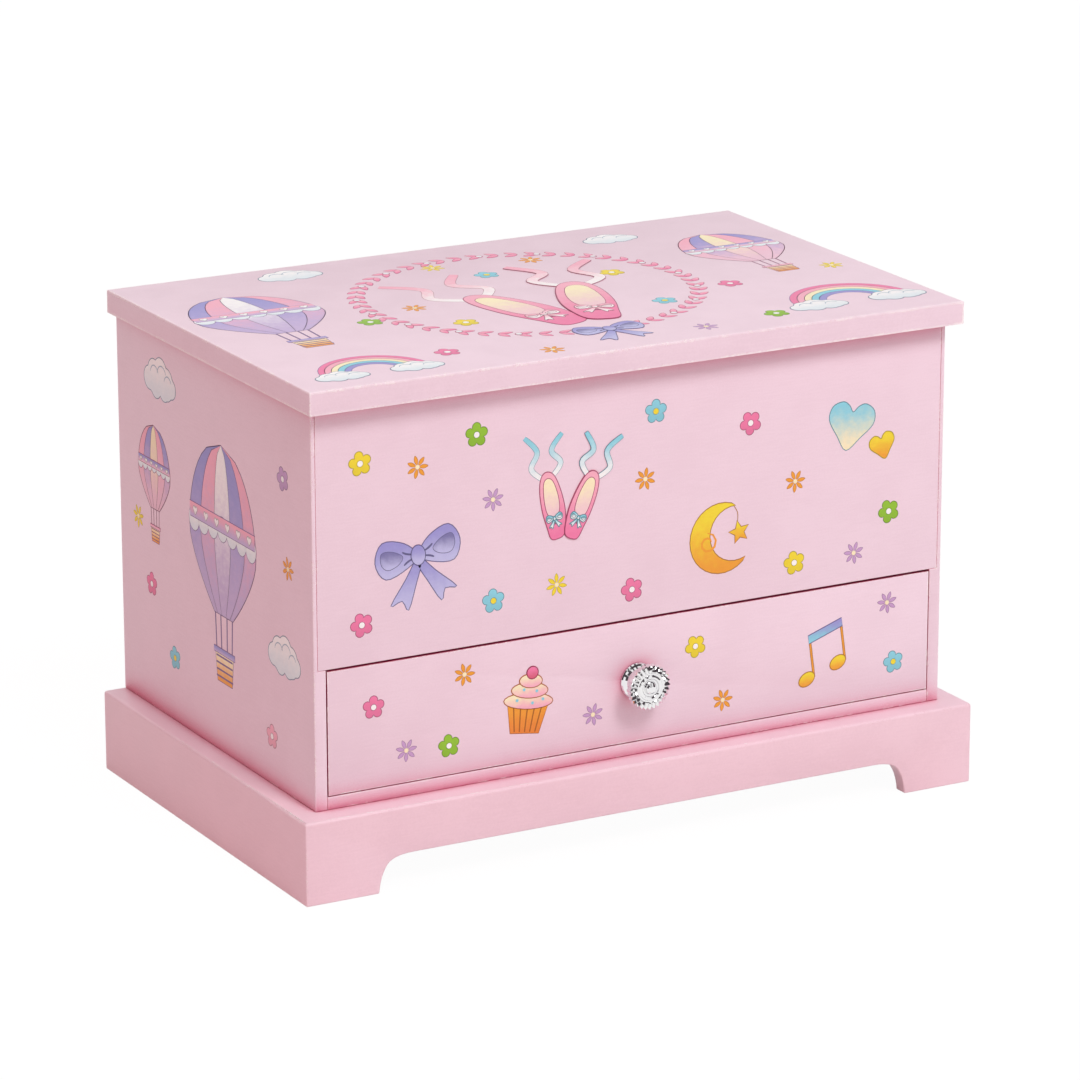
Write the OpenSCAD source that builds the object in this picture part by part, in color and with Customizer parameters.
// Musical jewellery box with one drawer and a turning ballerina.
// +X is to the right, -Y is the front, +Z is up. The origin lies on the table,
// under the centre of the box with its knob and winding key.
// The music movement is drawn in its own frame: see on_plate().

/* [Case] */
// Width over the two side panels
case_w = 243.6; // [225:0.2:300]
// Depth from the front face to the back face
case_d = 151; // [146:1:190]
// Height of the side panels
case_h = 137; // [134:1:170]
// Thickness of the case boards
board = 4.5; // [4:0.1:5.5]
// Width of side panel edge that shows beside the front and back panels
corner_reveal = 1.5; // [1:0.1:2.5]
// Height of the drawer opening
drawer_opening_h = 44; // [43.5:0.5:50]
// Thickness of the shelf above the drawer
shelf_t = 4; // [3:0.5:6]

/* [Plinth] */
// Height of the plinth
plinth_h = 29; // [24:0.5:40]
// Width of the plinth ledge at each side
ledge_side = 8.2; // [6.5:0.1:12]
// Width of the plinth ledge at the front
ledge_front = 9; // [6.5:0.1:10]
// Thickness of the base board that the case stands on
base_t = 4; // [3:0.5:6]
// Thickness of the skirt boards
skirt_t = 5.5; // [4:0.5:6]
// Width of each front foot at the floor
foot_w = 27; // [22:0.5:40]
// Height of the flat top of the front arch
arch_h = 12.5; // [10:0.5:16]
// Radius on the plinth's top edges
plinth_round = 1; // [0.5:0.1:1.5]

/* [Lid] */
// Thickness of the lid board
lid_t = 8; // [7.5:0.5:12]
// Overhang of the lid past each side panel
lid_side = 3.2; // [2:0.1:6]
// Overhang of the lid past the front face
lid_front = 6.3; // [3:0.1:9]
// Radius on the lid's top edges
lid_round = 0.5; // [0.3:0.1:1]
// Thickness of the padded lining board inside the lid
lid_lining_t = 1.6; // [1.2:0.1:2.5]
// Gap between the lid lining and the case walls
lid_play = 1.5; // [1:0.1:3]
// Width of the mirror
mirror_w = 150; // [100:1:170]
// Depth of the mirror, front to back
mirror_d = 88; // [60:1:100]
// Width of the braid frame around the mirror
braid_w = 4; // [3:0.5:6]
// Thickness of the braid frame
braid_t = 1.2; // [0.8:0.1:1.5]
// Opening angle at the hinge stops, in degrees
lid_open = 100; // [90:1:120]

/* [Hinges] */
// Length of each hinge
hinge_w = 24; // [18:0.5:30]
// Distance of each hinge's middle from the centre of the box
hinge_x = 72; // [50:1:85]
// Outer radius of the hinge knuckles
knuckle_r = 1.7; // [1.5:0.1:2]
// Radius of the hinge pins
hinge_pin_r = 0.8; // [0.6:0.1:1]
// Thickness of the hinge leaves
leaf_t = 0.8; // [0.6:0.1:1]
// Height of the lid leaf above the joint line
lid_leaf_h = 6.8; // [6.5:0.1:7]
// Height of the case leaf below the joint line
case_leaf_h = 9; // [7:0.5:12]

/* [Drawer] */
// Gap round the drawer front
drawer_gap = 0.4; // [0.3:0.05:0.8]
// Thickness of the drawer front
drawer_front_t = 5; // [4:0.5:7]
// Height of the drawer box behind its front
drawer_box_h = 35; // [28:0.5:38]
// Thickness of the drawer's sides and back
drawer_wall = 3; // [2.5:0.5:4]
// Thickness of the drawer's bottom
drawer_floor_t = 2; // [1.5:0.5:3]
// Gap between the drawer box and the case at each side
drawer_side_gap = 1; // [0.5:0.1:2]
// Gap under the drawer and at its ends
runner_gap = 0.2; // [0.1:0.05:0.5]
// Distance that the drawer pulls out
drawer_travel = 85; // [60:1:90]

/* [Knob] */
// Distance from the drawer face to the knob's tip
knob_reach = 11; // [10:0.5:14]
// Radius of the knob's faceted rim
knob_r = 8; // [7:0.5:10]
// Radius of the knob's foot against the drawer
knob_foot_r = 6.4; // [5:0.2:7]
// Radius of the knob's waist
knob_waist_r = 4.6; // [3.5:0.1:5]
// Number of facets round the rim
knob_facets = 24; // [16:2:32]
// Radius of the knob screw
knob_screw_r = 1.9; // [1.5:0.1:2.2]

/* [Compartment] */
// Thickness of the fabric lined wall cards
lining_t = 1.5; // [1:0.1:2]
// Thickness of the floor lining
floor_lining_t = 1; // [0.8:0.1:2]
// Distance from the case rim down to the top of the wall cards
lining_drop = 5; // [4:0.5:8]
// Height of the compartment partitions
partition_h = 34; // [25:1:45]
// Thickness of the partitions
partition_t = 3; // [2:0.5:4]
// Distance of the front partition from the centre, to the right
front_partition_x = 14; // [0:1:30]
// Width of the ballerina's platform
stage_w = 62; // [50:1:76]
// Height of the ballerina's platform
stage_h = 8; // [6:0.5:10]
// Gap round pieces that drop into the compartment
drop_gap = 0.3; // [0.2:0.05:0.6]
// Number of ring rolls
roll_n = 6; // [5:1:7]
// Height of the foam under the ring rolls
ring_base_h = 14; // [8:1:20]

/* [Music movement] */
// Gap under the bedplate
plate_stand = 1.5; // [0.5:0.1:2]
// Thickness of the bedplate
plate_t = 2.5; // [2:0.1:3.5]
// Module of the crown wheel and its two pinions
crown_m = 0.5; // [0.48:0.01:0.5]
// Length of the crown teeth along their radius
crown_face = 2; // [1.6:0.1:2.4]
// Height of the spring barrel's drum
drum_h = 10.6; // [9:0.1:12]
// Radius of the winding arbor
arbor_r = 2; // [1.6:0.1:2.4]
// Radius of the pinned cylinder
tune_r = 6; // [5.5:0.1:6.4]
// Number of notes on the comb
note_n = 18; // [12:1:20]
// Distance from one note to the next
note_pitch = 1.15; // [1:0.05:1.15]
// Number of pins on each track of the cylinder
pins_per_note = 6; // [3:1:8]
// Height of the pins
pin_h = 0.6; // [0.4:0.05:0.8]
// Gap between the pins and the tips of the comb
tip_gap = 0.15; // [0.1:0.01:0.3]
// Thickness of the comb
comb_t = 0.9; // [0.7:0.1:1.2]
// Length of the longest tooth of the comb
bass_tooth = 11; // [9:0.5:11.2]
// Length of the shortest tooth of the comb
treble_tooth = 7.5; // [6:0.5:9]
// Module of the governor's gears
governor_m = 0.4; // [0.38:0.01:0.4]
// Number of starts of the worm
worm_starts = 2; // [1:1:2]
// Radius of the governor's fan
fan_r = 4.2; // [3.5:0.1:4.4]
// Radial clearance of every turning shaft
shaft_fit = 0.05; // [0.02:0.01:0.1]

/* [Winding key] */
// Distance from the case back to the end of the key
key_reach = 12; // [11:0.5:16]
// Distance from the case back to the key's hub
key_stand = 2; // [1.5:0.5:3]
// Width over the key's wings
key_w = 24; // [20:0.5:30]
// Thickness of the key's wings
key_t = 2; // [1.5:0.1:3]

/* [Ballerina] */
// Height of the ballerina from toe to fingertips
doll_h = 55; // [45:1:58]
// Radius of the tutu
tutu_r = 14; // [11:0.5:14.5]
// Number of pleats in the tutu
pleat_n = 16; // [10:1:20]
// Radius of the turntable
turntable_r = 9; // [7:0.5:12]
// Thickness of the turntable
turntable_t = 2; // [1.5:0.1:3]
// Length of the spring under the ballerina's foot
doll_spring_h = 7; // [5:0.5:8]

/* [Hidden] */
$fn = 48;
eps = 0.01;

// ---- places in the case
front_y = (knob_reach - case_d - key_reach) / 2;
back_y = front_y + case_d;
in_x = case_w / 2 - board;
in_front = front_y + board;
in_back = back_y - board;
case_top = plinth_h + case_h;
case_floor = plinth_h + board;
opening_top = case_floor + drawer_opening_h;
deck = opening_top + shelf_t;
plinth_w = case_w + 2 * ledge_side;
plinth_front = front_y - ledge_front;
skirt_h = plinth_h - base_t;
lid_w = case_w + 2 * lid_side;
lid_top = case_top + lid_t;
deck_lined = deck + floor_lining_t;
lined_x = in_x - lining_t;
lined_front = in_front + lining_t;
lined_back = in_back - lining_t;
lining_top = case_top - lining_drop;
hinge_y = back_y + knuckle_r + 0.05;
knuckle_gap = 0.2;
screw_r = 0.8;
lid_screw_len = 7;
screw_head_r = 1.5;
screw_fit = 0.02;

// ---- tooth counts, which set the couplings of the movement
crown_n = 48;
drive_n = 12;
end_gear_n = 36;
governor_pinion_n = 12;
worm_wheel_n = 24;

// ---- music movement, in the frame of on_plate()
plate_y = in_back - plate_t;
crown_r = crown_m * crown_n / 2;
drive_r = crown_m * drive_n / 2;
addendum = 1;
dedendum = 1.25;
backlash = 0.14;
drum_stand = 0.4;
drum_r = crown_r + crown_face / 2;
crown_root = drum_stand + drum_h;
tune_z = crown_root + dedendum * crown_m + drive_r;
pivot_r = 0.9;
post_t = 2;
post_near = -crown_r - crown_face / 2 - 4;
tune_near = post_near - post_t - 0.5;
comb_w = note_n * note_pitch;
tune_len = comb_w + 2;
tune_far = tune_near - tune_len;
gear_t = 1.5;
gear_near = tune_far - 1;
post_far = gear_near - gear_t - 1;
end_gear_r = governor_m * end_gear_n / 2;
governor_y = governor_m * (end_gear_n + governor_pinion_n) / 2;
worm_wheel_r = governor_m * worm_wheel_n / 2;
worm_wheel_t = 1.4;
worm_wheel_x = post_far - post_t - 3;
worm_r = 1.3;
worm_z = tune_z + worm_wheel_r + worm_r;
worm_len = 10;
outer_post = worm_wheel_x - 2.4;
arm_t = 1.5;
ear_w = 4;
small_screw_r = 0.6;
small_head_r = 1.1;
arm_top = governor_y + worm_len / 2 + 1;
fan_top = governor_y - worm_len / 2 - 3;
fan_len = 8;
arm_low = fan_top - fan_len - 1 - arm_t;
comb_tip = -(tune_r + pin_h + tip_gap);
comb_base = 5;
comb_back = comb_tip - bass_tooth - comb_base;
comb_mid = tune_near - tune_len / 2;
plate_low = comb_back - 1;
barrel_z = case_floor + plate_stand - plate_low;
plate_left = outer_post - post_t - ear_w - 0.8;
plate_right = drum_r + 3;
plate_top = drum_r + 4.4;
spindle_y = plate_y - tune_z;
spindle_r = 1.2;
bush_r = 3;
bush_flange = 1.6;
chamber_gap = 2;
chamber_t = 3;
chamber_back = plate_y - worm_z - fan_r - chamber_gap;
chamber_front = chamber_back - chamber_t;

// ---- drawer
drawer_back_y = chamber_front - 1;
drawer_box_x = in_x - drawer_side_gap;
drawer_low = case_floor + runner_gap;
drawer_front_low = case_floor + drawer_gap;
drawer_front_top = opening_top - drawer_gap;
drawer_mid_z = (drawer_front_low + drawer_front_top) / 2;
drawer_box_front = front_y + drawer_front_t;
stop_x = drawer_box_x - drawer_wall - 20;
stop_bite = 1.5;

// ---- compartment
stage_top = deck_lined + stage_h;
stage_x = stage_w / 2;
partition_y = spindle_y - tutu_r - 2;
partition_top = deck_lined + partition_h;
side_partition_x = stage_x + drop_gap;
strip_x = plate_left - 4;
strip_w = 4;
strip_t = 1;
strip_gap = 0.4;
strip_y = in_back - strip_gap / 2 - strip_t;
strip_top = case_top - drop_gap;

// ---- ballerina
table_low = stage_top + 0.6;
table_top = table_low + turntable_t;
toe_z = table_top + doll_spring_h;
spring_r = 2.2;
spring_wire = 0.35;
peg_h = 1;
// the height at which the doll's widths are drawn
drawn_h = 55;

// ---- helpers
module block(x, y, z) {
    translate([x[0], y[0], z[0]]) cube([x[1] - x[0], y[1] - y[0], z[1] - z[0]]);
}

module both_sides() {
    children();
    mirror([1, 0, 0]) children();
}

// A bar along X that cuts a rounded edge from a box whose edge lies on the X axis:
// the box is on the +Y and -Z sides of the edge.
module edge_cut(len, r) {
    rotate([0, 90, 0]) linear_extrude(len, center = true) difference() {
        translate([-eps, -eps]) square(r + eps);
        translate([r, r]) circle(r);
    }
}

// A board with its front and side top edges rounded.
module rounded_board(x, y, z, r) {
    difference() {
        block(x, y, z);
        translate([(x[0] + x[1]) / 2, y[0], z[1]]) edge_cut(x[1] - x[0] + 2, r);
        translate([x[0], (y[0] + y[1]) / 2, z[1]]) rotate([0, 0, -90])
            edge_cut(y[1] - y[0] + 2, r);
        translate([x[1], (y[0] + y[1]) / 2, z[1]]) rotate([0, 0, 90])
            edge_cut(y[1] - y[0] + 2, r);
    }
}

function bezier(a, b, c, t) = (1 - t) * (1 - t) * a + 2 * t * (1 - t) * b + t * t * c;
function curve(a, b, c, steps) = [for (i = [0 : steps]) bezier(a, b, c, i / steps)];
function noise(i, j) = let (v = sin(i * 127.1 + j * 311.7) * 437.58) v - floor(v);

// ---- gears
function polar(r, a) = [r * cos(a), r * sin(a)];
function tooth(n, m, mid) =
    let (r = m * n / 2, half = (PI * m / 4 - backlash / 2) / r * 180 / PI)
    [polar(r - dedendum * m, mid - 1.3 * half), polar(r, mid - half),
     polar(r + addendum * m, mid - 0.45 * half), polar(r + addendum * m, mid + 0.45 * half),
     polar(r, mid + half), polar(r - dedendum * m, mid + 1.3 * half)];
function gear_outline(n, m, turn) =
    [for (k = [0 : n - 1]) for (p = tooth(n, m, turn + k * 360 / n)) p];

module gear(n, m, t, turn = 0) {
    linear_extrude(t, center = true) polygon(gear_outline(n, m, turn));
}

// Stands what is drawn about Z on an axis along X: its X turns to Y, its Y to Z.
module along_x() {
    rotate([90, 0, 90]) children();
}

// Stands what is drawn about Z on an axis along Y: its Y turns to -Z.
module along_y() {
    rotate([-90, 0, 0]) children();
}

// The movement's frame: X stays, its Y is up and its Z comes out of the bedplate
// towards the front of the box. The barrel's axis is its Z axis.
module on_plate() {
    translate([0, plate_y, barrel_z]) rotate([90, 0, 0]) children();
}

// ---- plinth
module base_board() {
    color("#e9b3c4")
        rounded_board([-plinth_w / 2, plinth_w / 2], [plinth_front, back_y],
                      [skirt_h, plinth_h], plinth_round);
}

// One foot's outline, from the floor up the heel, round the knee to the flat.
function foot_line() =
    let (x = plinth_w / 2 - foot_w)
    concat(curve([x, 0], [x - 0.5, 0.48 * arch_h], [x - 3.2, 0.78 * arch_h], 5),
           curve([x - 3.2, 0.78 * arch_h], [x - 5.5, arch_h], [x - 13, arch_h], 6));

module arch_shape() {
    right = foot_line();
    left = [for (i = [len(right) - 1 : -1 : 0]) [-right[i][0], right[i][1]]];
    polygon(concat([[plinth_w / 2 - foot_w, -1]], right, left, [[foot_w - plinth_w / 2, -1]]));
}

module mitred_skirt(len) {
    linear_extrude(skirt_h)
        polygon([[-len / 2, 0], [len / 2, 0], [len / 2 - skirt_t, skirt_t],
                 [skirt_t - len / 2, skirt_t]]);
}

module skirt_front() {
    color("#eec0cf") difference() {
        translate([0, plinth_front, 0]) mitred_skirt(plinth_w);
        translate([0, plinth_front + skirt_t + 1, 0]) rotate([90, 0, 0])
            linear_extrude(skirt_t + 2) arch_shape();
    }
}

module skirt_back() {
    color("#e3aebf") translate([0, back_y, 0]) rotate([0, 0, 180]) mitred_skirt(plinth_w);
}

module skirt_side(side) {
    color("#dca5b4") translate([side * plinth_w / 2, (plinth_front + back_y) / 2, 0])
        rotate([0, 0, side * 90]) mitred_skirt(back_y - plinth_front);
}

module skirt_left() { skirt_side(-1); }
module skirt_right() { skirt_side(1); }

module corner_blocks() {
    leg = 14;
    color("#b78f63") both_sides() for (back = [false, true])
        translate([skirt_t - plinth_w / 2, back ? back_y - skirt_t : plinth_front + skirt_t, 2])
            mirror([0, back ? 1 : 0, 0]) linear_extrude(skirt_h - 2)
                polygon([[0, 0], [leg, 0], [leg, 3], [3, leg], [0, leg]]);
}

// ---- case
module side_panel(side) {
    step = board - corner_reveal;
    color("#d99eac") mirror([side < 0 ? 1 : 0, 0, 0]) difference() {
        block([in_x, case_w / 2], [front_y, back_y], [plinth_h, case_top]);
        block([in_x - 1, in_x + step], [front_y - 1, in_front], [opening_top, case_top + 1]);
        block([in_x - 1, in_x + step], [in_back, back_y + 1], [plinth_h - 1, case_top + 1]);
    }
}

module side_left() { side_panel(-1); }
module side_right() { side_panel(1); }

module front_panel() {
    x = case_w / 2 - corner_reveal;
    color("#f2cfdc") block([-x, x], [front_y, in_front], [opening_top, case_top]);
}

module back_panel() {
    x = case_w / 2 - corner_reveal;
    color("#eec0cf") difference() {
        block([-x, x], [in_back, back_y], [plinth_h, case_top]);
        on_plate() translate([0, 0, -plate_t - board - 1]) cylinder(h = board + 2, r = arbor_r + 1.2);
        at_hinge_screws(-1) cylinder(h = board, r = screw_r + screw_fit);
        at_plate_screws() translate([0, 0, -plate_t - board + 0.8])
            cylinder(h = board, r = plate_screw_r + screw_fit);
    }
}

module bottom_panel() {
    color("#eab4c6") block([-in_x, in_x], [front_y, in_back], [plinth_h, case_floor]);
}

module strip_slot(extra) {
    translate([strip_x - strip_w / 2 - extra, strip_y - extra, 0])
        cube([strip_w + 2 * extra, in_back - strip_y + extra + eps, case_top]);
}

// The shelf, with two blocks glued under it that catch the drawer's back.
module shelf() {
    stop_y = drawer_back_y - drawer_wall - drawer_travel - runner_gap;
    color("#e3aebf") difference() {
        union() {
            block([-in_x, in_x], [in_front, in_back], [opening_top, deck]);
            both_sides() block([stop_x, stop_x + 14], [stop_y - 6, stop_y],
                               [drawer_low + drawer_box_h - stop_bite, opening_top + eps]);
        }
        translate([0, spindle_y, opening_top - 1]) cylinder(h = shelf_t + 2, r = bush_r);
        strip_slot(strip_gap);
    }
}

module chamber_wall() {
    color("#c9a27c")
        block([-in_x, in_x], [chamber_front, chamber_back], [case_floor, opening_top]);
}

// ---- compartment
module floor_lining() {
    color("#f3b9cd") difference() {
        block([-in_x, in_x], [in_front, in_back], [deck, deck_lined]);
        translate([0, spindle_y, deck - 1])
            cylinder(h = floor_lining_t + 2, r = bush_r + bush_flange + drop_gap);
        strip_slot(strip_gap);
    }
}

module lining_front() {
    color("#f6c6d6")
        block([-lined_x, lined_x], [in_front, lined_front], [deck_lined, lining_top]);
}

module lining_back() {
    color("#f6c6d6") difference() {
        block([-lined_x, lined_x], [lined_back, in_back], [deck_lined, lining_top]);
        strip_slot(strip_gap);
    }
}

module lining_sides() {
    color("#f6c6d6") both_sides()
        block([lined_x, in_x], [in_front, in_back], [deck_lined, lining_top]);
}

// The long partition is slotted from the top, the short ones from below.
half_lap = deck_lined + partition_h / 2;

module partition_long() {
    color("#f3b9cd") difference() {
        block([drop_gap - lined_x, lined_x - drop_gap],
              [partition_y - partition_t, partition_y], [deck_lined, partition_top]);
        for (x = [-side_partition_x - partition_t, side_partition_x, front_partition_x])
            block([x - drop_gap / 2, x + partition_t + drop_gap / 2],
                  [partition_y - partition_t - 1, partition_y + 1],
                  [half_lap, partition_top + 1]);
    }
}

module short_partition(x, y) {
    color("#f3b9cd") difference() {
        block([x, x + partition_t], y, [deck_lined, partition_top]);
        block([x - 1, x + partition_t + 1],
              [partition_y - partition_t - drop_gap / 2, partition_y + drop_gap / 2],
              [deck_lined - 1, half_lap]);
    }
}

lap_end = partition_y - partition_t;

module partition_left() {
    short_partition(-side_partition_x - partition_t, [lap_end, lined_back - drop_gap]);
}

module partition_right() {
    short_partition(side_partition_x, [lap_end, lined_back - drop_gap]);
}

module partition_front() {
    short_partition(front_partition_x, [lined_front + drop_gap, partition_y]);
}

module stage() {
    y = [partition_y + drop_gap, lined_back - drop_gap];
    color("#f7d3df") difference() {
        block([-stage_x, stage_x], y, [deck_lined, stage_top]);
        translate([0, spindle_y, deck_lined - 1])
            cylinder(h = stage_h + 2, r = bush_r + bush_flange + drop_gap);
    }
}

ring_x = [front_partition_x + partition_t + drop_gap, lined_x - drop_gap];
ring_y = [lined_front + drop_gap, partition_y - partition_t - drop_gap];
roll_pitch = (ring_y[1] - ring_y[0]) / roll_n;

module ring_base() {
    color("#f6c6d6") block(ring_x, ring_y, [deck_lined, deck_lined + ring_base_h]);
}

module ring_rolls() {
    r = roll_pitch / 2 - 0.1;
    color("#f9d5e0") for (i = [0 : roll_n - 1])
        translate([ring_x[0], ring_y[0] + (i + 0.5) * roll_pitch, deck_lined + ring_base_h])
            along_x() intersection() {
                translate([0, r * 0.55, 0]) cylinder(h = ring_x[1] - ring_x[0], r = r);
                translate([-r, 0, 0]) cube([2 * r, 2 * r, ring_x[1] - ring_x[0]]);
            }
}

// ---- hinges
module at_hinges() {
    both_sides() translate([hinge_x, hinge_y, case_top]) children();
}

// Screw places on one leaf, about its pin: up is 1 for the lid leaf and -1 for the
// case leaf. The screw's point is along +Z of the place.
module on_leaf(up) {
    leaf_mid = up > 0 ? (knuckle_r + lid_leaf_h) / 2 + 0.2 : -(knuckle_r + case_leaf_h) / 2;
    for (x = [-1, 1])
        translate([x * hinge_w * 0.3, back_y + leaf_t - hinge_y, leaf_mid])
            rotate([90, 0, 0]) children();
}

module at_hinge_screws(up) {
    at_hinges() on_leaf(up) children();
}

module hinge_screw(len) {
    cylinder(h = leaf_t, r1 = screw_head_r, r2 = screw_r);
    cylinder(h = len, r = screw_r);
}

module knuckle(x0, x1) {
    translate([x0, 0, 0]) along_x() difference() {
        cylinder(h = x1 - x0, r = knuckle_r);
        translate([0, 0, -1]) cylinder(h = x1 - x0 + 2, r = hinge_pin_r + shaft_fit);
    }
}

middle = hinge_w * 0.2;

// The lug on the lid leaf's knuckle that meets the case leaf's face when the lid has
// turned through lid_open.
module stop_lug(x) {
    face = back_y - hinge_y + leaf_t + 0.06;
    rotate([lid_open, 0, 0])
        block(x, [face, face + 0.8], [-2 * knuckle_r, -hinge_pin_r - 0.3]);
}

// The leaf of one hinge, about its pin. up is 1 for the lid leaf.
module leaf(up) {
    knuckles = up > 0 ? [[-middle + knuckle_gap, middle - knuckle_gap]]
                      : [[-hinge_w / 2, -middle], [middle, hinge_w / 2]];
    reach = up > 0 ? lid_leaf_h : case_leaf_h;
    y = [back_y - hinge_y, back_y - hinge_y + leaf_t];
    difference() {
        union() {
            mirror([0, 0, up > 0 ? 0 : 1])
                block([-hinge_w / 2, hinge_w / 2], y, [knuckle_r + knuckle_gap, reach]);
            for (k = knuckles) {
                knuckle(k[0], k[1]);
                mirror([0, 0, up > 0 ? 0 : 1])
                    block(k, y, [hinge_pin_r + 0.3, knuckle_r + knuckle_gap + eps]);
            }
            if (up > 0) stop_lug(knuckles[0]);
        }
        on_leaf(up) translate([0, 0, -eps])
            cylinder(h = leaf_t + 2 * eps, r1 = screw_head_r + screw_fit,
                     r2 = screw_r + screw_fit);
    }
}

module case_leaves() {
    color("#c9a550") at_hinges() leaf(-1);
}

module lid_leaves() {
    color("#c9a550") at_hinges() leaf(1);
}

module hinge_pins() {
    color("#b08d3c") at_hinges() along_x() {
        cylinder(h = hinge_w, r = hinge_pin_r, center = true);
        for (z = [-1, 1])
            translate([0, 0, z * (hinge_w / 2 + 0.3)])
                cylinder(h = 0.6, r = hinge_pin_r + 0.3, center = true);
    }
}

module hinge_screws_case() {
    color("#b08d3c") at_hinge_screws(-1) hinge_screw(board);
}

module hinge_screws_lid() {
    color("#b08d3c") at_hinge_screws(1) hinge_screw(lid_screw_len);
}

// ---- lid
module lid_panel() {
    color("#f0ccd8") difference() {
        rounded_board([-lid_w / 2, lid_w / 2], [front_y - lid_front, back_y],
                      [case_top, lid_top], lid_round);
        at_hinge_screws(1) cylinder(h = lid_screw_len + 0.5, r = screw_r + screw_fit);
    }
}

mirror_y = (in_front + in_back) / 2;

module mirror_window(grow) {
    x = mirror_w / 2 + grow;
    y = mirror_d / 2 + grow;
    block([-x, x], [mirror_y - y, mirror_y + y], [0, 2 * case_top]);
}

module lid_lining() {
    x = in_x - lid_play;
    color("#f6c6d6") difference() {
        block([-x, x], [in_front + lid_play, in_back - lid_play],
              [case_top - lid_lining_t, case_top]);
        mirror_window(drop_gap);
    }
}

module mirror_glass() {
    color("#cfd8dc") intersection() {
        mirror_window(0);
        block([-mirror_w, mirror_w], [-case_d, case_d], [case_top - lid_lining_t, case_top]);
    }
}

module mirror_braid() {
    low = case_top - lid_lining_t - braid_t;
    color("#d9b65a") intersection() {
        difference() {
            mirror_window(braid_w / 2);
            mirror_window(-braid_w / 2);
        }
        block([-mirror_w, mirror_w], [-case_d, case_d], [low, low + braid_t]);
    }
}

// ---- drawer
module drawer_front() {
    x = in_x - drawer_gap;
    color("#f2cfdc") difference() {
        block([-x, x], [front_y, drawer_box_front], [drawer_front_low, drawer_front_top]);
        translate([0, drawer_box_front + 1, drawer_mid_z]) rotate([90, 0, 0])
            cylinder(h = drawer_front_t + 2, r = knob_screw_r + screw_fit);
    }
}

module drawer_sides() {
    color("#efd9df") both_sides()
        block([drawer_box_x - drawer_wall, drawer_box_x], [drawer_box_front, drawer_back_y],
              [drawer_low, drawer_low + drawer_box_h]);
}

module drawer_back() {
    x = drawer_box_x - drawer_wall;
    color("#efd9df")
        block([-x, x], [drawer_back_y - drawer_wall, drawer_back_y],
              [drawer_low, drawer_low + drawer_box_h]);
}

module drawer_bottom() {
    x = drawer_box_x - drawer_wall;
    color("#efd9df")
        block([-x, x], [drawer_box_front, drawer_back_y - drawer_wall],
              [drawer_low + 1, drawer_low + 1 + drawer_floor_t]);
}

module drawer_lining() {
    x = drawer_box_x - drawer_wall - drop_gap;
    low = drawer_low + 1 + drawer_floor_t;
    color("#f3b9cd")
        block([-x, x], [drawer_box_front + drop_gap, drawer_back_y - drawer_wall - drop_gap],
              [low, low + floor_lining_t]);
}

// ---- knob, about its own axis: Z points out of the drawer
module at_knob() {
    translate([0, front_y, drawer_mid_z]) rotate([90, 0, 0]) children();
}

module knob() {
    rim_low = knob_reach - 4.2;
    rim_high = knob_reach - 1;
    color("#d8dadd") at_knob() difference() {
        union() {
            rotate_extrude()
                polygon(concat([[0, 0], [knob_foot_r, 0], [knob_foot_r, 1]],
                               curve([knob_foot_r - 0.6, 1.4], [knob_waist_r, 2.2],
                                     [knob_waist_r, 3.6], 4),
                               curve([knob_waist_r, 3.6], [knob_waist_r, rim_low - 1],
                                     [knob_r - 1.2, rim_low], 4),
                               [[0, rim_low]]));
            translate([0, 0, rim_low]) intersection() {
                rotate_extrude()
                    polygon([[0, -eps], [knob_r - 1.2, -eps], [knob_r + 0.2, 1.3], [knob_r + 0.2, 1.9],
                             [knob_r - 1, 3.2], [knob_r - 2.6, 3.2], [knob_r - 3.2, 2.6],
                             [knob_r - 5, 2.9], [2, 2.9], [2, 3.6], [1.2, 4.2], [0, 4.2]]);
                linear_extrude(2 * knob_reach, center = true)
                    polygon([for (i = [0 : 2 * knob_facets - 1])
                             polar(i % 2 == 0 ? knob_r : knob_r - 0.55, i * 180 / knob_facets)]);
            }
        }
        translate([0, 0, -1]) cylinder(h = 5, r = knob_screw_r + screw_fit);
    }
}

module knob_screw() {
    color("#b9bcc0") at_knob() {
        translate([0, 0, -drawer_front_t - 0.01]) cylinder(h = drawer_front_t + 3.5, r = knob_screw_r);
        translate([0, 0, -drawer_front_t - 1.6]) difference() {
            union() {
                cylinder(h = 1.6, r = 3.6);
                translate([0, 0, -0.6]) cylinder(h = 0.6, r1 = 2.8, r2 = 3.6);
            }
            for (a = [0, 90]) rotate([0, 0, a]) translate([-1.8, -0.3, -1]) cube([3.6, 0.6, 1.2]);
        }
    }
}

// ---- music movement
plate_screw_r = 1.2;
plate_screw_places = [[comb_mid, plate_top - 4], [plate_left + 4, plate_low + 4],
                      [plate_right - 4, plate_low + 4]];

module frame_screw_holes() {
    for (p = frame_screw_places) translate([p[0], p[1], -plate_t - 1])
        cylinder(h = plate_t + foot_t + 2, r = small_screw_r + screw_fit);
}

module at_plate_screws() {
    on_plate() for (p = plate_screw_places) translate([p[0], p[1], 0]) children();
}

module bearing_post(x, tall_y) {
    translate([x - post_t, 0, 0]) along_x() linear_extrude(post_t) {
        translate([0, tune_z]) circle(2.6);
        polygon([[-6, 0], [6, 0], [2.6, tune_z], [-2.6, tune_z]]);
        if (tall_y > 0) {
            translate([tall_y, tune_z]) circle(2);
            polygon([[0, 0], [tall_y + 2, 0], [tall_y + 2, tune_z], [0, tune_z]]);
        }
    }
}

comb_rail_w = comb_w + 2;
comb_screw_x = [comb_mid - comb_w * 0.3, comb_mid + comb_w * 0.3];
comb_screw_y = comb_back + comb_base / 2;
comb_low = tune_z - comb_t / 2;

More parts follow.
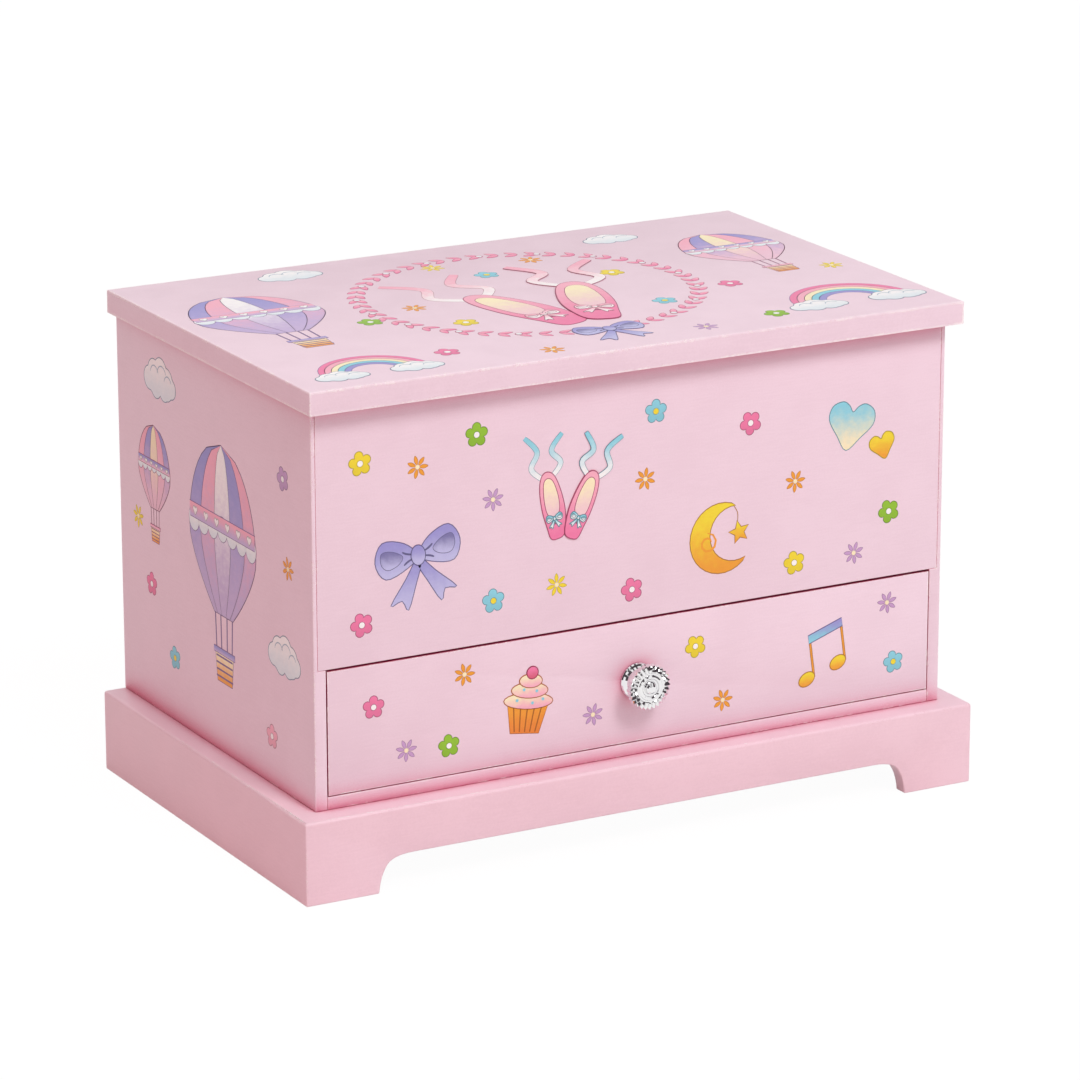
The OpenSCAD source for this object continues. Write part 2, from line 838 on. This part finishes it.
module bedplate() {
    corner = 3;
    color("#b9bcbf") on_plate() difference() {
        union() {
            translate([0, 0, -plate_t]) linear_extrude(plate_t)
                polygon([[plate_left, plate_low + corner], [plate_left + corner, plate_low],
                         [plate_right - corner, plate_low], [plate_right, plate_low + corner],
                         [plate_right, plate_top - corner], [plate_right - corner, plate_top],
                         [plate_left + corner, plate_top], [plate_left, plate_top - corner]]);
            bearing_post(post_near, 0);
            bearing_post(post_far, governor_y);
            block([comb_mid - comb_rail_w / 2, comb_mid + comb_rail_w / 2],
                  [comb_back, comb_back + comb_base], [-eps, comb_low]);
        }
        translate([0, 0, -plate_t - 1]) cylinder(h = plate_t + 2, r = arbor_r + shaft_fit);
        for (p = plate_screw_places) translate([p[0], p[1], -plate_t - 1])
            cylinder(h = plate_t + 2, r = plate_screw_r + screw_fit);
        frame_screw_holes();
        for (x = comb_screw_x) translate([x, comb_screw_y, comb_low - 6])
            cylinder(h = 7, r = 1 + screw_fit);
        translate([post_far - post_t - 1, 0, tune_z]) along_x()
            cylinder(h = post_near - post_far + post_t + 2, r = pivot_r + shaft_fit);
        translate([post_far - post_t - 1, governor_y, tune_z]) along_x()
            cylinder(h = post_t + 2, r = pivot_r + shaft_fit);
    }
}

module slotted_head(r, h) {
    difference() {
        cylinder(h = h, r = r);
        translate([-r - 1, -0.25, h - 0.6]) cube([2 * r + 2, 0.5, 1]);
    }
}

module plate_screws() {
    color("#8e9196") {
        at_plate_screws() {
            translate([0, 0, -plate_t - board + 1]) cylinder(h = plate_t + board - 1, r = plate_screw_r);
            slotted_head(2.2, 1.3);
        }
        on_plate() for (p = frame_screw_places) translate([p[0], p[1], foot_t]) {
            translate([0, 0, -foot_t - plate_t]) cylinder(h = foot_t + plate_t, r = small_screw_r);
            slotted_head(small_head_r, 1);
        }
    }
}

// The comb: one steel plate with a tooth for each note, longest at the bass end.
function note_x(i) = comb_mid + comb_w / 2 - (i + 0.5) * note_pitch;
function tooth_len(i) = treble_tooth + (bass_tooth - treble_tooth) * i / (note_n - 1);

module comb() {
    slot = 0.3;
    base_top = comb_tip - bass_tooth;
    color("#d5d9de") on_plate() translate([0, 0, comb_low]) {
        difference() {
            linear_extrude(comb_t) polygon(concat(
                [[comb_mid + comb_w / 2, comb_back], [comb_mid + comb_w / 2, comb_tip - treble_tooth]],
                [for (i = [0 : note_n - 1])
                    for (p = [[note_pitch / 2 - slot / 2, -tooth_len(i)],
                              [note_pitch / 2 - slot / 2 - 0.1, 0],
                              [slot / 2 + 0.1 - note_pitch / 2, 0],
                              [slot / 2 - note_pitch / 2, -tooth_len(i)]])
                        [note_x(i) + p[0], comb_tip + p[1]]],
                [[comb_mid - comb_w / 2, comb_tip - bass_tooth], [comb_mid - comb_w / 2, comb_back]]));
            for (x = comb_screw_x) translate([x, comb_screw_y, -1])
                cylinder(h = comb_t + 2, r = 1 + screw_fit);
        }
        // tuning weights under the bass teeth
        for (i = [ceil(note_n * 0.6) : note_n - 1])
            translate([note_x(i) - note_pitch * 0.3, comb_tip - 3.4, -1.2])
                cube([note_pitch * 0.6, 2.6, 1.2 + eps]);
    }
}

module comb_screws() {
    color("#8e9196") on_plate() for (x = comb_screw_x)
        translate([x, comb_screw_y, comb_low]) {
            translate([0, 0, -5.5]) cylinder(h = 5.5 + comb_t, r = 1);
            translate([0, 0, comb_t]) slotted_head(2, 1.2);
        }
}

module crown_tooth() {
    p = PI * crown_m;
    half = p / 4 - backlash / 2;
    slope = tan(20);
    low = crown_root;
    translate([crown_r - crown_face / 2, 0, 0]) along_x() linear_extrude(crown_face)
        polygon([[-half - slope * dedendum * crown_m, low - eps],
                 [half + slope * dedendum * crown_m, low - eps],
                 [half - slope * addendum * crown_m, low + (addendum + dedendum) * crown_m],
                 [-half + slope * addendum * crown_m, low + (addendum + dedendum) * crown_m]]);
}

drum_wall = 0.9;

module spring_barrel() {
    color("#d2ab52") on_plate() {
        difference() {
            translate([0, 0, drum_stand]) cylinder(h = drum_h, r = drum_r);
            translate([0, 0, drum_stand + drum_wall])
                cylinder(h = drum_h - 2 * drum_wall, r = crown_r - crown_face / 2 - drum_wall);
            translate([0, 0, -1]) cylinder(h = drum_h + 4, r = arbor_r + shaft_fit);
            for (a = [45 : 90 : 315]) rotate([0, 0, a]) translate([crown_r * 0.6, 0, drum_h - 1])
                cylinder(h = 3, r = 1.1);
        }
        for (k = [0 : crown_n - 1]) rotate([0, 0, k * 360 / crown_n]) crown_tooth();
    }
}

// The mainspring: one strip wound in a spiral between the arbor and the drum.
module mainspring() {
    turns = 5;
    steps = 24 * turns;
    r0 = arbor_r + 0.5;
    r1 = crown_r - crown_face / 2 - drum_wall - 0.6;
    strip = 0.4;
    function spiral_r(i) = r0 + (r1 - r0) * i / steps;
    inner = [for (i = [0 : steps]) polar(spiral_r(i), i * 15)];
    outer = [for (i = [steps : -1 : 0]) polar(spiral_r(i) + strip, i * 15)];
    color("#6f747a") on_plate() translate([0, 0, drum_stand + drum_wall + 0.3])
        linear_extrude(drum_h - 2 * drum_wall - 0.6) polygon(concat(inner, outer));
}

module tune_pins() {
    for (i = [0 : note_n - 1]) for (j = [0 : pins_per_note - 1])
        translate([note_x(i), 0, tune_z])
            rotate([(j + 0.8 * noise(i, j)) * 360 / pins_per_note, 0, 0])
                translate([0, 0, tune_r - 0.3]) cylinder(h = pin_h + 0.3, r = 0.22, $fn = 4);
}

module tune_cylinder() {
    color("#d8b45c") on_plate() {
        translate([tune_far, 0, tune_z]) along_x() cylinder(h = tune_len, r = tune_r);
        tune_pins();
        translate([post_far - post_t - 0.4, 0, tune_z]) along_x()
            cylinder(h = crown_face / 2 - crown_r + 0.6 - post_far + post_t + 0.4, r = pivot_r);
        translate([gear_near - gear_t / 2, 0, tune_z]) along_x()
            gear(end_gear_n, governor_m, gear_t);
        translate([-crown_r, 0, tune_z]) along_x() gear(drive_n, crown_m, crown_face, 15);
    }
}

module governor_wheel() {
    color("#e8e2d0") on_plate() translate([0, governor_y, tune_z]) {
        translate([outer_post - post_t - 0.4, 0, 0]) along_x()
            cylinder(h = gear_near - outer_post + post_t + 0.4, r = pivot_r);
        translate([gear_near - gear_t / 2, 0, 0]) along_x()
            gear(governor_pinion_n, governor_m, gear_t + 0.4, 15);
        translate([worm_wheel_x, 0, 0]) along_x() gear(worm_wheel_n, governor_m, worm_wheel_t);
        translate([worm_wheel_x + 1.2, 0, 0]) along_x() cylinder(h = 1, r = 1.6, center = true);
    }
}

// The governor's frame: an outer post for the wheel and two arms for the fan's shaft.
frame_x = outer_post - post_t;
foot_t = 1.2;
bracket_low = crown_r + crown_face / 2 + 1.2;
bracket_high = plate_top - 0.4;
frame_screw_places = [[frame_x - ear_w / 2, arm_low + ear_w / 2],
                      [frame_x - ear_w / 2, arm_top + arm_t - ear_w / 2],
                      [-6, (bracket_low + bracket_high) / 2], [6, (bracket_low + bracket_high) / 2]];

module governor_frame() {
    color("#cfd2d4") on_plate() difference() {
        union() {
            block([frame_x, outer_post], [arm_low, arm_top + arm_t], [0, foot_t]);
            for (y = [arm_low, arm_top + arm_t - ear_w])
                block([frame_x - ear_w, frame_x + eps], [y, y + ear_w], [0, foot_t]);
            for (y = [arm_low, arm_top]) {
                block([frame_x, worm_wheel_x + 1.6], [y, y + arm_t], [0, worm_z]);
                translate([worm_wheel_x, y, worm_z]) along_y() cylinder(h = arm_t, r = 1.6);
            }
            translate([frame_x, 0, 0]) along_x() linear_extrude(post_t) {
                translate([governor_y, tune_z]) circle(2.4);
                polygon([[governor_y - 4, 0], [governor_y + 4, 0], [governor_y + 2.4, tune_z],
                         [governor_y - 2.4, tune_z]]);
            }
        }
        frame_screw_holes();
        translate([frame_x - 1, governor_y, tune_z]) along_x()
            cylinder(h = post_t + 2, r = pivot_r + shaft_fit);
        translate([worm_wheel_x, arm_low - 1, worm_z]) along_y()
            cylinder(h = arm_top - arm_low + arm_t + 2, r = fan_shaft_r + shaft_fit);
    }
}

fan_shaft_r = 0.5;

module governor_fan() {
    lead = worm_starts * PI * governor_m;
    turns = floor(worm_len / lead / 2) * 2;
    root_r = worm_r - 0.5;
    crest_r = worm_r + 0.3;
    color("#f2efe6") on_plate() translate([worm_wheel_x, 0, worm_z]) {
        translate([0, arm_low - 0.3, 0]) along_y()
            cylinder(h = arm_top - arm_low + arm_t + 0.6, r = fan_shaft_r);
        translate([0, governor_y, 0]) along_y()
            linear_extrude(turns * lead, center = true, twist = -360 * turns, slices = 12 * turns)
                union() {
                    circle(root_r, $fn = 12);
                    for (s = [0 : worm_starts - 1]) rotate([0, 0, (s + 0.5) * 360 / worm_starts + 90])
                        polygon([polar(root_r * 0.9, -58 / worm_starts),
                                 polar(crest_r, -38 / worm_starts), polar(crest_r, 0),
                                 polar(crest_r, 38 / worm_starts),
                                 polar(root_r * 0.9, 58 / worm_starts)]);
                }
        translate([0, fan_top - fan_len, 0]) along_y() linear_extrude(fan_len) {
            circle(1.1);
            for (a = [90, 270]) rotate([0, 0, a])
                polygon(concat(curve([0.6, -0.35], [fan_r * 0.6, -0.35], [fan_r, 0.9], 5),
                               curve([fan_r - 0.3, 1.4], [fan_r * 0.5, 0.3], [0.6, 0.35], 5)));
        }
    }
}

module spindle_bracket() {
    t = 1.6;
    color("#cfd2d4") on_plate() difference() {
        union() {
            block([-4, 4], [bracket_low, bracket_low + t], [0, tune_z]);
            translate([0, bracket_low, tune_z]) along_y() cylinder(h = t, r = 4);
            block([-8, 8], [bracket_low, bracket_high], [0, foot_t]);
        }
        frame_screw_holes();
        translate([0, bracket_low - 1, tune_z]) along_y()
            cylinder(h = t + 2, r = spindle_r + shaft_fit);
    }
}

module shelf_bush() {
    color("#e8e2d0") translate([0, spindle_y, 0]) difference() {
        union() {
            translate([0, 0, opening_top]) cylinder(h = shelf_t + floor_lining_t, r = bush_r);
            translate([0, 0, deck]) cylinder(h = floor_lining_t, r = bush_r + bush_flange);
        }
        translate([0, 0, opening_top - 1]) cylinder(h = shelf_t + 4, r = spindle_r + shaft_fit);
    }
}

module winding_arbor() {
    collar = 0.8;
    color("#9aa0a6") on_plate() {
        translate([0, 0, -plate_t - board - key_reach + 3])
            cylinder(h = plate_t + board + key_reach - 3 + drum_h + drum_stand + 1, r = arbor_r);
        translate([0, 0, -plate_t - board - 1 - collar]) cylinder(h = collar, r = arbor_r + 1);
    }
}

module winding_key() {
    lobe_r = (key_reach - key_stand - 1.2) / 2;
    hub_len = key_reach - key_stand - 2.5;
    color("#c8cbd0") translate([0, back_y + key_stand, barrel_z]) difference() {
        union() {
            along_y() cylinder(h = hub_len, r = arbor_r + 1.4);
            translate([0, 0, -key_t / 2]) linear_extrude(key_t) {
                for (s = [-1, 1]) difference() {
                    translate([s * (key_w / 2 - lobe_r), key_reach - key_stand - lobe_r])
                        circle(lobe_r);
                    translate([s * (key_w / 2 - lobe_r), key_reach - key_stand - lobe_r])
                        circle(lobe_r * 0.45);
                }
                translate([lobe_r * 1.4 - key_w / 2, 1.2])
                    square([key_w - 2.8 * lobe_r, hub_len - 0.8]);
            }
        }
        translate([0, -1, 0]) along_y() cylinder(h = key_reach - key_stand - 2, r = arbor_r + screw_fit);
    }
}

// The stop strip: pushed down by the closed lid, it holds a finger beside the fan.
module stop_strip() {
    finger_z = barrel_z + fan_top - 1.8;
    finger_y = plate_y - worm_z;
    finger_x = worm_wheel_x - fan_r - 0.4;
    x = [strip_x - strip_w / 2, strip_x + strip_w / 2];
    color("#aeb3b8") {
        block(x, [strip_y, strip_y + strip_t], [finger_z, strip_top]);
        block(x, [finger_y - 0.6, strip_y + eps], [finger_z, finger_z + 1]);
        block([x[0], finger_x], [finger_y - 0.6, finger_y + 0.6], [finger_z, finger_z + 1]);
    }
}

// ---- ballerina
module at_spindle() {
    translate([0, spindle_y, 0]) children();
}

module spindle() {
    pinion_low = barrel_z + crown_r - crown_face / 2;
    color("#d8b45c") {
        at_spindle() translate([0, 0, pinion_low - 0.6])
            cylinder(h = table_top - 0.5 - pinion_low + 0.6, r = spindle_r);
        on_plate() translate([0, crown_r, tune_z]) along_y() gear(drive_n, crown_m, crown_face, 15);
    }
}

module turntable() {
    color("#fbf4f6") at_spindle() difference() {
        union() {
            rotate_extrude()
                polygon([[0, table_low], [turntable_r - 0.6, table_low],
                         [turntable_r, table_low + 0.6], [turntable_r, table_top - 0.7],
                         [turntable_r - 0.7, table_top], [0, table_top]]);
            translate([0, 0, table_top - eps]) cylinder(h = 2, r = spring_r - spring_wire - 0.2);
            translate([0, 0, table_low - 3]) cylinder(h = 3 + eps, r = spindle_r + 1.4);
        }
        translate([0, 0, table_low - 4]) cylinder(h = 3.5 + turntable_t, r = spindle_r + screw_fit);
    }
}

// A wire wound round Z as rings of points joined into one closed skin.
function coil_point(r, wire, pitch, a, b) =
    [(r + wire * cos(b)) * cos(a), (r + wire * cos(b)) * sin(a), pitch * a / 360 + wire * sin(b)];

module coil(r, wire, height, turns, steps = 12, sides = 6) {
    rings = steps * turns;
    pitch = (height - 2 * wire) / turns;
    points = [for (i = [0 : rings]) for (j = [0 : sides - 1])
              coil_point(r, wire, pitch, i * 360 / steps, j * 360 / sides)];
    skin = [for (i = [0 : rings - 1]) for (j = [0 : sides - 1])
            [i * sides + j, (i + 1) * sides + j,
             (i + 1) * sides + (j + 1) % sides, i * sides + (j + 1) % sides]];
    ends = [[for (j = [0 : sides - 1]) j], [for (j = [sides - 1 : -1 : 0]) rings * sides + j]];
    translate([0, 0, wire]) polyhedron(points, concat(skin, ends));
}

module doll_spring() {
    color("#c9ccd1") at_spindle() translate([0, 0, table_top])
        coil(spring_r, spring_wire, doll_spring_h, 6);
}

// A limb between points with a radius at each, rounded at its joints.
module limb(points, radii) {
    for (i = [0 : len(points) - 2]) hull() {
        translate(points[i]) sphere(radii[i], $fn = 10);
        translate(points[i + 1]) sphere(radii[i + 1], $fn = 10);
    }
}

// Body heights are shares of the doll's height, as on a figure drawn in proportion.
function doll_at(share) = toe_z + doll_h * share;

function drawn_at(share) = drawn_h * share;

// a width of the doll as drawn, at the doll's own size
function doll_wide(width) = width * doll_h / drawn_h;

module doll_turned(profile) {
    rotate_extrude($fn = 20) polygon(profile);
}

waist = 0.575;

module ballerina() {
    color("#f6d9cc") at_spindle() {
        // peg and toe
        translate([0, 0, toe_z]) cylinder(h = peg_h, r = spring_r + spring_wire);
        translate([0, 0, toe_z]) scale(doll_h / drawn_h) {
            // standing leg, then the raised leg bent to the knee
            limb([[0, 0, peg_h], [0, 0, drawn_at(0.07)], [0.2, 0, drawn_at(0.15)],
                  [0.5, 0, drawn_at(0.27)], [0.9, 0, drawn_at(0.46)]], [0.7, 0.8, 1.2, 1.3, 2.1]);
            limb([[-1.2, 0, drawn_at(0.46)], [-5.2, -2.6, drawn_at(0.35)],
                  [-0.9, -1.1, drawn_at(0.25)]], [2.1, 1.3, 0.7]);
            // bodice, neck, head and bun
            doll_turned([[0, drawn_at(0.43)], [3.1, drawn_at(0.44)],
                [3.3, drawn_at(0.49)], [2.1, drawn_at(waist)], [2.9, drawn_at(0.66)],
                [2.6, drawn_at(0.70)], [1, drawn_at(0.725)], [0.9, drawn_at(0.76)],
                [0, drawn_at(0.77)]]);
            translate([0, 0, drawn_at(0.815)]) sphere(3.2, $fn = 18);
            translate([0, 1.4, drawn_at(0.885)]) sphere(1.7, $fn = 12);
            // arms rounded overhead
            for (s = [-1, 1])
                limb([[s * 2.7, 0, drawn_at(0.69)], [s * 5.9, -0.8, drawn_at(0.80)],
                      [s * 4.6, -1.2, drawn_at(0.93)], [s * 1, -1.6, drawn_at(0.985)]],
                     [0.95, 0.8, 0.65, 0.6]);
        }
    }
}

module tutu() {
    low = doll_at(0.47);
    color("#fbe3ec") at_spindle() difference() {
        intersection() {
            rotate_extrude()
                polygon([[0, low + 1], [tutu_r, low - 0.8], [tutu_r, low + 0.2],
                         [tutu_r * 0.5, low + 2.4], [doll_wide(3.6), doll_at(waist) - 0.6],
                         [0, doll_at(waist) - 0.6]]);
            linear_extrude(2 * lid_top)
                polygon([for (i = [0 : 8 * pleat_n - 1])
                         polar(tutu_r - 0.6 + 0.6 * cos(i * 45), i * 45 / pleat_n)]);
        }
        rotate_extrude()
            polygon([[0, low - 2], [doll_wide(3.5), low - 2], [doll_wide(3.5), doll_at(0.51)],
                     [doll_wide(2.9), doll_at(waist) + 1], [0, doll_at(waist) + 1]]);
    }
}

// ---- the assembly
base_board();
skirt_front();
skirt_back();
skirt_left();
skirt_right();
corner_blocks();
side_left();
side_right();
front_panel();
back_panel();
bottom_panel();
shelf();
chamber_wall();
floor_lining();
lining_front();
lining_back();
lining_sides();
partition_long();
partition_left();
partition_right();
partition_front();
stage();
ring_base();
ring_rolls();
case_leaves();
hinge_pins();
hinge_screws_case();
lid_panel();
lid_lining();
mirror_glass();
mirror_braid();
lid_leaves();
hinge_screws_lid();
drawer_front();
drawer_sides();
drawer_back();
drawer_bottom();
drawer_lining();
knob();
knob_screw();
bedplate();
plate_screws();
comb();
comb_screws();
governor_frame();
spindle_bracket();
shelf_bush();
spring_barrel();
mainspring();
tune_cylinder();
governor_wheel();
governor_fan();
winding_arbor();
winding_key();
stop_strip();
spindle();
turntable();
doll_spring();
ballerina();
tutu();
